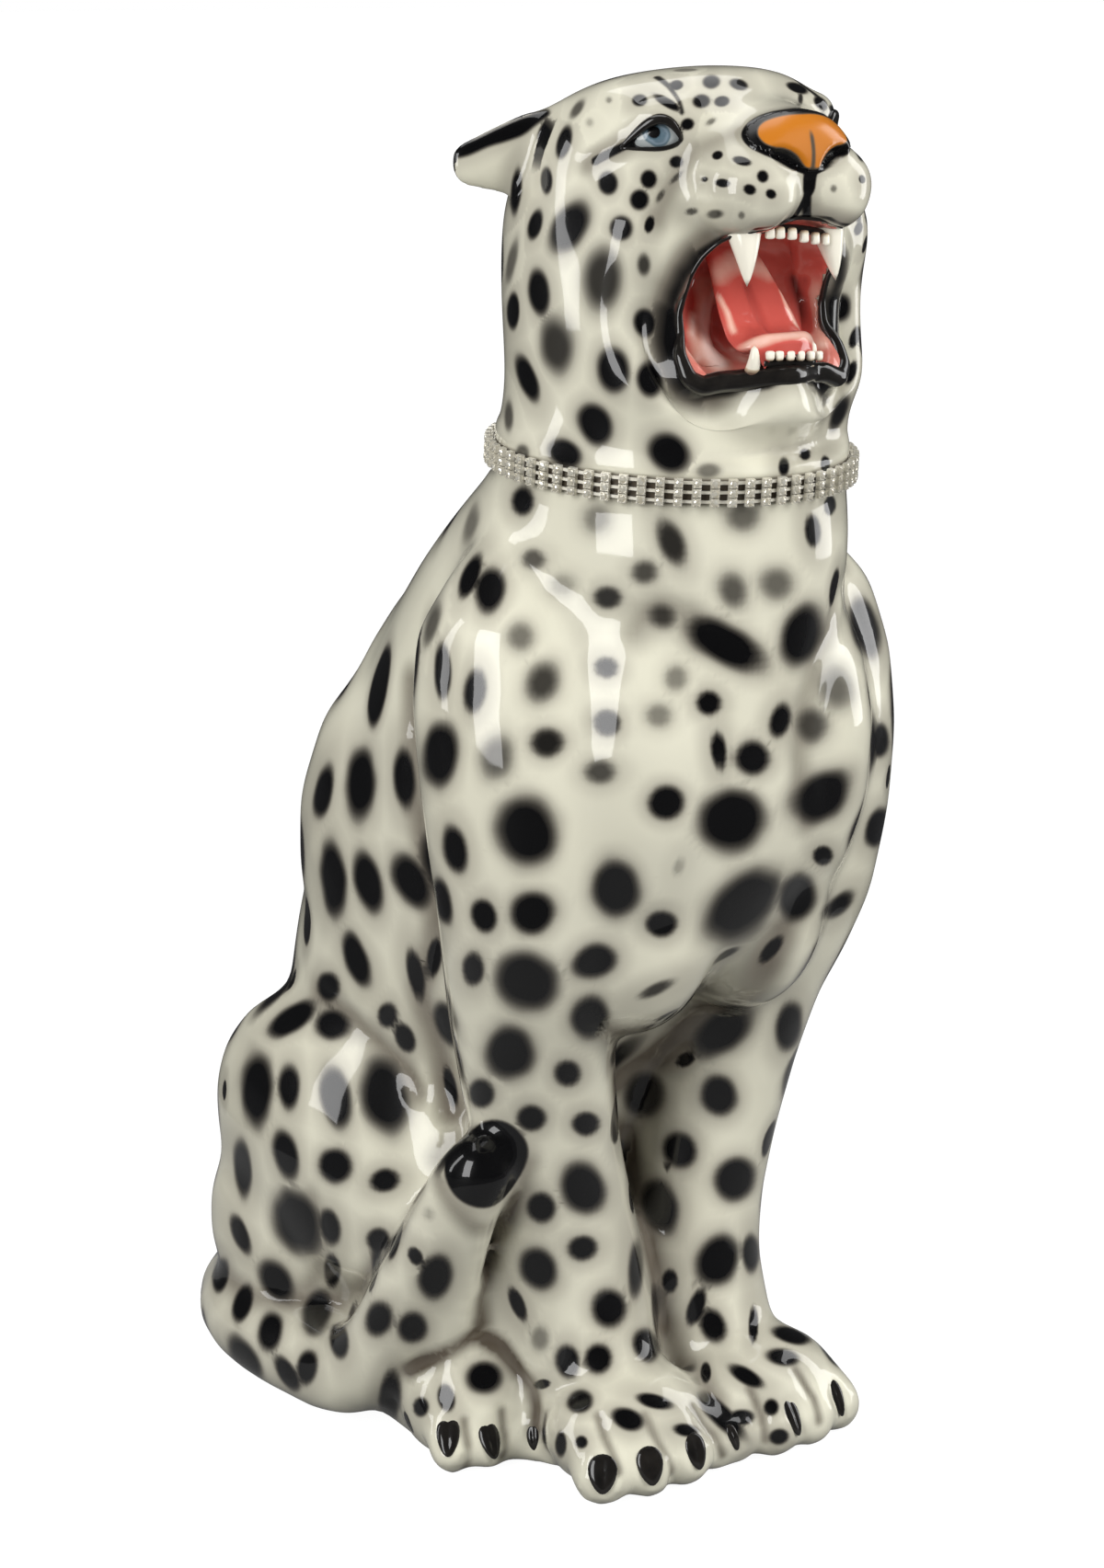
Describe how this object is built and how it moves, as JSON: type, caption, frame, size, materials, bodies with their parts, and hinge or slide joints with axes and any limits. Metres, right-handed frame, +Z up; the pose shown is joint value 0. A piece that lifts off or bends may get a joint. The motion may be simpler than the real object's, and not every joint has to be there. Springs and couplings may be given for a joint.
{
  "type": "leopard statue",
  "caption": "Seated roaring leopard, a hollow glazed ceramic floor statue with its tail round one haunch and a loose crystal collar closed by a sprung hook.",
  "frame": {"origin": "on the floor below the middle of the seat, between the haunches", "axes": "+Z up, -Y the way the animal faces, +X its left side"},
  "size_m": [0.2359, 0.3661, 0.6006],
  "materials": {
    "glazed_ceramic": "clear gloss glaze over cream slip with airbrushed black spots",
    "eye_glaze": "clear gloss glaze over painted blue-grey iris and black pupil",
    "nose_glaze": "clear gloss glaze over orange with black nostrils",
    "mouth_glaze": "clear gloss glaze over brushed red and pink",
    "tooth_glaze": "clear gloss glaze over ivory",
    "silver_plate": "polished silver plate",
    "crystal": "faceted and foil-backed"
  },
  "bodies": {
    "root": {"torso_shell": "glazed_ceramic", "head_shell": "glazed_ceramic", "right_foreleg": "glazed_ceramic", "left_foreleg": "glazed_ceramic", "right_hind_leg": "glazed_ceramic", "left_hind_leg": "glazed_ceramic", "tail": "glazed_ceramic", "right_ear": "glazed_ceramic", "left_ear": "glazed_ceramic", "right_eye": "eye_glaze", "left_eye": "eye_glaze", "nose_pad": "nose_glaze", "mouth_lining": "mouth_glaze", "tongue": "mouth_glaze", "upper_right_canine": "tooth_glaze", "upper_left_canine": "tooth_glaze", "lower_right_canine": "tooth_glaze", "lower_left_canine": "tooth_glaze", "upper_incisors": "tooth_glaze", "lower_incisors": "tooth_glaze"},
    "collar": {"collar_rows": "silver_plate", "collar_settings": "silver_plate", "collar_stones": "crystal", "collar_end_bars": "silver_plate", "collar_rings": "silver_plate", "clasp_body": "silver_plate", "clasp_rivet": "silver_plate"},
    "lever": {"clasp_lever": "silver_plate"}
  },
  "joints": [
    {"name": "collar_turn", "type": "hinge", "parent": "root", "child": "collar", "pos_m": [0, -0.096, 0.442], "axis": [0, -0.0785, 0.9969], "continuous": true},
    {"name": "clasp_lever", "type": "hinge", "parent": "collar", "child": "lever", "pos_m": [-0.0014, -0.02042, 0.44905], "axis": [0, 0.9969, 0.0785], "range_deg": [0, 12], "stiffness_Nm_per_rad": 0.002}
  ]
}
